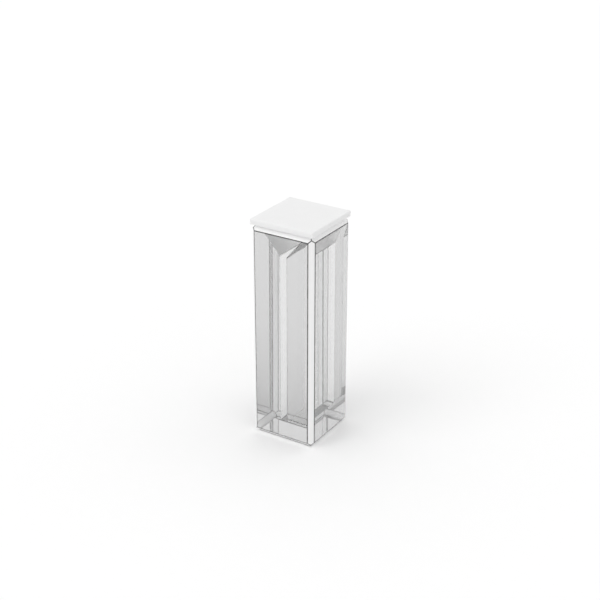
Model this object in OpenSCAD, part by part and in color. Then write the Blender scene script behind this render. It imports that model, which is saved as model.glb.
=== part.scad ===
// Square optical cell with a funnel mouth and a narrow chamber, closed by a loose lid.
// The origin is the middle of the base. Light passes along Y, and the chamber is narrow along X.

/* [Cell] */
// Outside width of the square cell
cell_w = 12.5; // [12.5:0.5:16]
// Height of the cell from its base to its rim
cell_h = 40; // [30:1:60]
// Width of the bevel ground on every outer edge
edge_bevel = 0.9; // [0.3:0.1:1]

/* [Chamber] */
// Light path, from the inside of one window to the inside of the other
path_l = 10; // [5:0.5:10]
// Clear width of the chamber between its side walls
slot_w = 1.5; // [1:0.1:4]
// Glass under the chamber
floor_t = 3.5; // [1.5:0.5:10]

/* [Mouth] */
// Clear width of the mouth between the funnel's two slopes
mouth_w = 9.4; // [8:0.2:10]
// Depth of the funnel, from the rim to the top of the chamber
funnel_h = 4.8; // [3.6:0.2:8]
// Bevel ground round the inside of the rim
lip_bevel = 0.15; // [0.1:0.05:0.2]

/* [Lid] */
// Thickness of the lid's plate
plate_t = 1.1; // [0.8:0.1:2]
// Bevel that breaks the plate's edges
plate_bevel = 0.15; // [0.1:0.05:0.3]
// Depth of the plug under the plate
plug_h = 1.6; // [1:0.1:2]
// Play left round the plug on each side
plug_gap = 0.1; // [0.05:0.05:0.3]
// How far the plug draws in towards its foot on the two window sides
plug_draft = 0.4; // [0:0.1:0.8]

/* [Hidden] */
// Overshoot that carries a cut clear of the face it opens
over = 1;
// How far the funnel's slope moves in for each millimetre that it goes down
slope = (mouth_w - slot_w) / 2 / (funnel_h - lip_bevel);
// Plug at the plate and at its foot, as [width across the slopes, length between the windows]
plug_top = [mouth_w - 2 * plug_gap, path_l - 2 * plug_gap];
plug_foot = [
    mouth_w - 2 * slope * (plug_h - lip_bevel) - 2 * plug_gap,
    path_l - 2 * plug_gap - 2 * plug_draft
];
// How far the plug's sides run on up inside the plate, and its size where they end
plug_sink = plate_t / 2;
plug_root = plug_foot + (plug_top - plug_foot) * (1 + plug_sink / plug_h);

// Outline of a rectangle with its four corners cut off at 45 degrees
module bevelled_rect(w, h, bevel) {
    x = w / 2;
    y = h / 2;
    polygon([
        [x - bevel, -y], [x, -y + bevel], [x, y - bevel], [x - bevel, y],
        [-x + bevel, y], [-x, y - bevel], [-x, -y + bevel], [-x + bevel, -y]
    ]);
}

// A profile drawn in X and Z, carried a length along Y about the middle
module along_y(length) {
    rotate([90, 0, 0]) linear_extrude(length, center = true) children();
}

// A profile drawn in Y and Z, carried a length along X about the middle
module along_x(length) {
    rotate([0, 0, 90]) along_y(length) children();
}

// Square block standing on its base, with a bevel on all twelve edges
module bevelled_block(w, h, bevel) {
    intersection() {
        linear_extrude(h) bevelled_rect(w, w, bevel);
        along_y(w) translate([0, h / 2]) bevelled_rect(w, h, bevel);
        along_x(w) translate([0, h / 2]) bevelled_rect(w, h, bevel);
    }
}

// Block standing on its foot, with four leaning sides; foot and top are [along X, along Y]
module leaning_block(foot, top, h) {
    reach = max(foot[0], foot[1], top[0], top[1]) + over;
    intersection() {
        along_y(reach) leaning_outline(foot[0], top[0], h);
        along_x(reach) leaning_outline(foot[1], top[1], h);
    }
}

module leaning_outline(foot, top, h) {
    polygon([[-foot / 2, 0], [foot / 2, 0], [top / 2, h], [-top / 2, h]]);
}

// Chamber and funnel in one profile, which runs the whole light path
module chamber_and_funnel() {
    top_z = cell_h - lip_bevel;
    along_y(path_l) polygon([
        [-slot_w / 2, floor_t], [slot_w / 2, floor_t],
        [slot_w / 2, cell_h - funnel_h], [mouth_w / 2, top_z],
        [mouth_w / 2, cell_h + over], [-mouth_w / 2, cell_h + over],
        [-mouth_w / 2, top_z], [-slot_w / 2, cell_h - funnel_h]
    ]);
}

// Bevel round the mouth, cut down from above the rim
module lip_cut() {
    h = lip_bevel + over;
    translate([0, 0, cell_h - lip_bevel])
        leaning_block([mouth_w, path_l], [mouth_w + 2 * h, path_l + 2 * h], h);
}

module cell_body() {
    color([0.83, 0.83, 0.83, 0.5])
        difference() {
            bevelled_block(cell_w, cell_h, edge_bevel);
            chamber_and_funnel();
            lip_cut();
        }
}

// The plate lies on the rim, and the plug, rooted in the plate, hangs in the funnel
module lid() {
    color("white")
        translate([0, 0, cell_h])
            union() {
                bevelled_block(cell_w, plate_t, plate_bevel);
                translate([0, 0, -plug_h])
                    leaning_block(plug_foot, plug_root, plug_h + plug_sink);
            }
}

cell_body();
lid();
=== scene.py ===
import math

import bmesh
import bpy
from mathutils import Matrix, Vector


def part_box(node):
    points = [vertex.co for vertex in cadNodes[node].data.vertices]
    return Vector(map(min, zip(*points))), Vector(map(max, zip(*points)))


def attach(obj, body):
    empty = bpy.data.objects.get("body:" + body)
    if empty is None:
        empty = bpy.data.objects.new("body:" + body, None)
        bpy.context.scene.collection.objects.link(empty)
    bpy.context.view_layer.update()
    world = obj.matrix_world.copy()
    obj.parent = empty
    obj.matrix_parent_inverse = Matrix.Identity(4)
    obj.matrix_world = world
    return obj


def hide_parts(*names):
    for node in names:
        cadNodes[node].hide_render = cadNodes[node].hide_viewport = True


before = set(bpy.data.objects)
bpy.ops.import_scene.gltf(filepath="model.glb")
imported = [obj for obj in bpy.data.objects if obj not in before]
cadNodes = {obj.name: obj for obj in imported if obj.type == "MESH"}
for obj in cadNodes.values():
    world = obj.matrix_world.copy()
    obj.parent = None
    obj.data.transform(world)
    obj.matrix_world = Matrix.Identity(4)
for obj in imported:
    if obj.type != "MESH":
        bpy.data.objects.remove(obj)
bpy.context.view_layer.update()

# A square glass cell with a funnel mouth and a narrow chamber, closed by a loose white lid.

millimetre = 0.001
print("frame loaded:", ", ".join(sorted(cadNodes)))


class Wire:  # an output socket that adds, multiplies and compares as a number does
    def __init__(self, graph, socket):
        self.graph = graph
        self.socket = socket

    def maths(self, operation, first, second):
        return self.graph.node("Math", {"operation": operation}, {0: first, 1: second})

    def __add__(self, other):
        return self.maths("ADD", self, other)

    def __radd__(self, other):
        return self.maths("ADD", other, self)

    def __sub__(self, other):
        return self.maths("SUBTRACT", self, other)

    def __rsub__(self, other):
        return self.maths("SUBTRACT", other, self)

    def __mul__(self, other):
        return self.maths("MULTIPLY", self, other)

    def __rmul__(self, other):
        return self.maths("MULTIPLY", other, self)

    def __lt__(self, other):
        return self.maths("LESS_THAN", self, other)

    def __or__(self, other):
        return self.maths("MAXIMUM", self, other)


class Graph:  # the nodes of one material or world
    def __init__(self, owner, output):
        owner.use_nodes = True
        self.tree = owner.node_tree
        self.tree.nodes.clear()
        self.output = self.tree.nodes.new(output)

    def node(self, kind, settings=None, sockets=None, out=None):
        made = self.tree.nodes.new("ShaderNode" + kind)
        for name, value in (settings or {}).items():
            setattr(made, name, value)
        # a Mix node hides the sockets of the types that it isn't set to
        shown = [socket for socket in made.inputs if socket.enabled]
        for name, value in (sockets or {}).items():
            named = [one for one in shown if one.name == name]
            socket = named[0] if named else shown[name]
            if isinstance(value, Wire):
                self.tree.links.new(value.socket, socket)
            else:
                socket.default_value = value
        outputs = [socket for socket in made.outputs if socket.enabled]
        return Wire(self, next(one for one in outputs if out in (None, one.name)))

    def finish(self, socket, wire):
        self.tree.links.new(wire.socket, self.output.inputs[socket])


def newMaterial(name):
    material = bpy.data.materials.new(name)
    return material, Graph(material, "ShaderNodeOutputMaterial")


def grey(level):
    return (level, level, level, 1)


squareOn = 0.9  # a face whose normal points this far along an axis is square to it
noiseMiddle = 0.5  # a noise texture varies about this value
waveRings = math.tau / 20  # distance between the rings of a wave texture at a scale of 1

rounding = {
    "weld": 0.001 * millimetre,      # corners closer than this are one
    "flatAngle": math.radians(1),    # faces that meet at less than this are one
    "sharpAngle": math.radians(10),  # edges that turn by more than this are rounded
    "segments": 2,
    "profile": 0.5,                  # a plain round
    "mostCorners": 4,                # a face with more is cut into triangles
}


def roundedCopy(node, name, radius, finishOf=None):
    # a copy of a CAD node with each edge broken by a small radius, whose faces may carry a finish
    mesh = bmesh.new()
    mesh.from_mesh(cadNodes[node].data)
    finish = mesh.faces.layers.float.new("finish") if finishOf else None
    bmesh.ops.remove_doubles(mesh, verts=mesh.verts, dist=rounding["weld"])
    bmesh.ops.dissolve_limit(
        mesh, angle_limit=rounding["flatAngle"], verts=mesh.verts, edges=mesh.edges)
    sharp = [edge for edge in mesh.edges if edge.calc_face_angle(0) > rounding["sharpAngle"]]
    rounded = set(bmesh.ops.bevel(
        mesh, geom=sharp, offset=radius, segments=rounding["segments"],
        profile=rounding["profile"], affect="EDGES", clamp_overlap=True)["faces"])
    for face in rounded:
        face.smooth = True
    bmesh.ops.recalc_face_normals(mesh, faces=mesh.faces)
    if finishOf:
        for face in mesh.faces:
            face[finish] = finishes[finishOf(face, face in rounded)]
    many = [face for face in mesh.faces if len(face.verts) > rounding["mostCorners"]]
    bmesh.ops.triangulate(mesh, faces=many)
    data = bpy.data.meshes.new(name)
    mesh.to_mesh(data)
    mesh.free()
    piece = bpy.data.objects.new(name, data)
    bpy.context.scene.collection.objects.link(piece)
    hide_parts(node)
    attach(piece, "root")
    print(name + ":", len(data.polygons), "faces")
    return piece


# the number that a face of the cell carries for its finish
finishes = {"polished": 0, "ground": 1, "rim": 2, "funnel": 3, "outerArris": 4, "innerArris": 5}

cell = {
    "arrisRadius": 0.1 * millimetre,  # an arris is the edge where two faces meet
    "shell": 1.0 * millimetre,        # the outer bevels lie in this depth, the inner edges deeper
    "rimZone": 1.0 * millimetre,      # the small bevel round the mouth lies this close to the rim
    "refraction": 1.46,
    "darkening": 28.0,                # how strongly the glass greys what is behind it, per metre
    "groundColour": 0.96,
    "groundMottle": 0.04,
    "grainSize": 0.1 * millimetre,
    "grainDepth": 0.03 * millimetre,
    "grainStrength": 1.0,
    "grainDetail": 2.0,
    "groundRoughness": 1.0,
    "coverRoughness": 0.5,            # of the ground white and of the painted shade line on an arris
    "arrisRoughness": 0.1,
    # painted shade: a near-black line laid on each arris, standing in for the dark edges that glass
    # shows from the shade round it
    "paintedShadeLineColour": 0.04,
    "paintedShadePatch": 1.1 * millimetre,   # the painted shade line on an arris is darker and lighter by turns over this length
    "paintedShadeDetail": 1.0,
    "paintedShadeVariation": 0.6,
    # how far each finish covers the glass, from the air side and from inside the glass;
    # the funnel's slopes are bare ground glass, which is brighter from inside than a white cover
    "white": {"ground": (0.95, 0.0), "rim": (0.5, 0.2), "funnel": (0.0, 0.0)},
    # the dark entries lay the painted shade line on the arrises
    "dark": {"outerArris": (0.9, 0.4), "innerArris": (0.35, 0.2)},
}


def cellFinish(face, isArris):
    low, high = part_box("cell_body")
    centre = face.calc_center_median()
    depth = min(high.x - abs(centre.x), high.y - abs(centre.y), centre.z)
    slanted = max(abs(part) for part in face.normal) < squareOn
    atRim = centre.z > high.z - cell["rimZone"]
    if isArris:
        return "innerArris" if depth > cell["shell"] else "outerArris"
    if face.normal.z > squareOn and atRim:
        return "rim"
    if slanted and depth > cell["shell"] and not atRim:
        return "funnel"
    return "ground" if slanted else "polished"


def glassMaterial():
    material, graph = newMaterial("cell_glass")
    finish = graph.node("Attribute", {"attribute_name": "finish"}, out="Fac")
    fromGlass = graph.node("NewGeometry", out="Backfacing")
    fromAir = 1 - fromGlass
    nearEnough = 0.1  # the finishes are whole numbers

    def spread(values):
        # the pair of values that the face's own finish has, for the air side and for inside the glass
        total = 0
        for name, (outside, inside) in values.items():
            here = graph.node("Math", {"operation": "COMPARE"}, {
                0: finish, 1: finishes[name], 2: nearEnough})
            total = here * (fromAir * outside + fromGlass * inside) + total
        return total

    place = graph.node("TexCoord", out="Object")
    grain = graph.node("TexNoise", {}, {
        "Vector": place, "Scale": 1 / cell["grainSize"], "Detail": cell["grainDetail"]})
    paintedShadePatches = graph.node("TexNoise", {}, {
        "Vector": place, "Scale": 1 / cell["paintedShadePatch"], "Detail": cell["paintedShadeDetail"]})
    isGround = spread({name: (1, 1) for name in cell["white"]})
    isArris = spread({name: (1, 1) for name in cell["dark"]})

    bump = graph.node("Bump", {}, {
        "Height": grain * isGround, "Strength": cell["grainStrength"], "Distance": cell["grainDepth"]})
    rough = isGround * cell["groundRoughness"] + isArris * cell["arrisRoughness"]
    clear = graph.node("BsdfPrincipled", {}, {
        "Base Color": grey(1.0), "Transmission Weight": 1.0, "IOR": cell["refraction"],
        "Roughness": rough, "Normal": bump})

    colour = graph.node("Mix", {"data_type": "RGBA"}, {
        "Factor": grain, "A": grey(cell["groundColour"] - cell["groundMottle"]),
        "B": grey(cell["groundColour"] + cell["groundMottle"])})
    # painted shade: the arris faces take the near-black line colour
    colour = graph.node("Mix", {"data_type": "RGBA"}, {
        "Factor": isArris, "A": colour, "B": grey(cell["paintedShadeLineColour"])})
    solid = graph.node("BsdfPrincipled", {}, {
        "Base Color": colour, "Roughness": cell["coverRoughness"], "Normal": bump})

    # the painted shade lines are stronger and weaker by turns along the arrises
    paintedShadeUnevenness = 1 + (paintedShadePatches - noiseMiddle) * cell["paintedShadeVariation"]
    cover = spread(cell["white"]) + spread(cell["dark"]) * paintedShadeUnevenness
    graph.finish("Surface", graph.node("MixShader", {}, {0: cover, 1: clear, 2: solid}))
    haze = graph.node("VolumeAbsorption", {}, {"Color": grey(0.0), "Density": cell["darkening"]})
    graph.finish("Volume", haze)
    return material


cellGlass = roundedCopy("cell_body", "cell_glass", cell["arrisRadius"], cellFinish)
cellGlass.data.materials.append(glassMaterial())


lid = {
    "edgeRadius": 0.08 * millimetre,
    "airUnderPlate": 0.02 * millimetre,   # the plate's underside stays this clear of the ground rim
    "colour": 0.85,
    "mottle": 0.03,
    "cloudSize": 2.4 * millimetre,
    "cloudDetail": 4.0,
    "translucence": 0.25,
    "lightReach": 0.6 * millimetre,
    "roughness": (0.42, 0.54),            # from the clearest to the cloudiest place
    "cutterPlace": (0.031, -0.024, 0.0),  # middle of the arcs that the cutter left
    "cutPitch": 0.4 * millimetre,
    "cutDepth": 0.01 * millimetre,
    "cutStrength": 1.0,
    "cutDetail": 1.0,
    "cutWander": 0.4,
    "cutShare": 0.5,                      # how much of the relief is arcs; the rest is cloud
}


def lidMaterial():
    material, graph = newMaterial("lid_plastic")
    place = graph.node("TexCoord", out="Object")
    cloud = graph.node("TexNoise", {}, {
        "Vector": place, "Scale": 1 / lid["cloudSize"], "Detail": lid["cloudDetail"]})
    fromCutter = graph.node("VectorMath", {"operation": "SUBTRACT"}, {0: place, 1: lid["cutterPlace"]})
    arcs = graph.node("TexWave", {"wave_type": "RINGS", "rings_direction": "Z"}, {
        "Vector": fromCutter, "Scale": waveRings / lid["cutPitch"], "Distortion": lid["cutWander"],
        "Detail": lid["cutDetail"]}, out="Fac")
    upward = graph.node("SeparateXYZ", {}, {0: graph.node("TexCoord", out="Normal")}, out="Z")
    isFlat = 1 - (upward * upward < squareOn ** 2)  # the cutter ran over the top and the underside
    relief = isFlat * arcs * lid["cutShare"] + cloud * (1 - lid["cutShare"])
    bump = graph.node("Bump", {}, {
        "Height": relief, "Strength": lid["cutStrength"], "Distance": lid["cutDepth"]})
    colour = graph.node("Mix", {"data_type": "RGBA"}, {
        "Factor": relief, "A": grey(lid["colour"] - lid["mottle"]),
        "B": grey(lid["colour"] + lid["mottle"])})
    smoothest, roughest = lid["roughness"]
    graph.finish("Surface", graph.node("BsdfPrincipled", {}, {
        "Base Color": colour, "Roughness": smoothest + cloud * (roughest - smoothest), "Normal": bump,
        "Subsurface Weight": lid["translucence"], "Subsurface Radius": (1, 1, 1),
        "Subsurface Scale": lid["lightReach"]}))
    return material


lidPlastic = roundedCopy("lid", "lid_plastic", lid["edgeRadius"])
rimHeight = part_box("cell_body")[1].z
for vertex in lidPlastic.data.vertices:
    if abs(vertex.co.z - rimHeight) < lid["airUnderPlate"]:
        vertex.co.z += lid["airUnderPlate"]
lidPlastic.data.materials.append(lidMaterial())


studio = {
    "floorDrop": 0.05 * millimetre,  # keeps the sheet clear of the glass base
    "floorHalf": 3.0,
    "floorBounce": 0.85,
    "floorSeen": 1.0,
    "ambient": 0.88,
    "sunStrength": 0.55,
    "sunAngle": 40.0,
    "sunTurn": (42.0, 0.0, -22.0),
}


def seenByEye(graph):
    # camera rays, and the rays that mirror or glass send on for the camera
    def ray(name):
        return graph.node("LightPath", out=name)
    return ray("Is Camera Ray") | ray("Is Glossy Ray") | ray("Is Transmission Ray")


def makeFloor():
    far = studio["floorHalf"]
    height = -studio["floorDrop"]
    corners = [(-far, -far, height), (far, -far, height), (far, far, height), (-far, far, height)]
    data = bpy.data.meshes.new("floor")
    data.from_pydata(corners, [], [(0, 1, 2, 3)])
    floor = bpy.data.objects.new("floor", data)
    bpy.context.scene.collection.objects.link(floor)
    material, graph = newMaterial("floor_sheet")
    colour = graph.node("Mix", {"data_type": "RGBA"}, {
        "Factor": seenByEye(graph), "A": grey(studio["floorBounce"]), "B": grey(studio["floorSeen"])})
    graph.finish("Surface", graph.node("BsdfDiffuse", {}, {"Color": colour}))
    data.materials.append(material)


def makeWorld():
    # white all round for what the eye sees, and slightly dimmer for what lights the surfaces
    world = bpy.data.worlds.new("studio")
    bpy.context.scene.world = world
    graph = Graph(world, "ShaderNodeOutputWorld")
    seen = seenByEye(graph)
    strength = seen + (1 - seen) * studio["ambient"]
    graph.finish("Surface", graph.node("Background", {}, {"Color": grey(1.0), "Strength": strength}))


def makeLamp():
    data = bpy.data.lights.new("key", "SUN")
    data.energy = studio["sunStrength"]
    data.angle = math.radians(studio["sunAngle"])
    lamp = bpy.data.objects.new("key", data)
    lamp.rotation_euler = [math.radians(turn) for turn in studio["sunTurn"]]
    # seen through the glass, the lamp's wide disc would be a bright patch on the even white
    lamp.visible_transmission = False
    bpy.context.scene.collection.objects.link(lamp)


view = {
    "lens": 78.0,
    "sensor": 36.0,
    "place": (0.10980, -0.17369, 0.12092),
    "lookDown": 25.0,
    "turn": 32.33,
}


def makeCamera():
    data = bpy.data.cameras.new("camera")
    data.lens = view["lens"]
    data.sensor_width = view["sensor"]
    data.clip_start = millimetre
    camera = bpy.data.objects.new("camera", data)
    camera.location = view["place"]
    camera.rotation_euler = (math.radians(90 - view["lookDown"]), 0, math.radians(view["turn"]))
    bpy.context.scene.collection.objects.link(camera)
    bpy.context.scene.camera = camera


# light that is caught in the glass turns many corners before it leaves
bounces = {"max_bounces": 24, "diffuse_bounces": 8, "glossy_bounces": 16, "transmission_bounces": 16}

makeFloor()
makeWorld()
makeLamp()
makeCamera()
for name, most in bounces.items():
    setattr(bpy.context.scene.cycles, name, most)
bpy.context.scene.view_settings.view_transform = "Standard"
print("floor, light and camera placed")
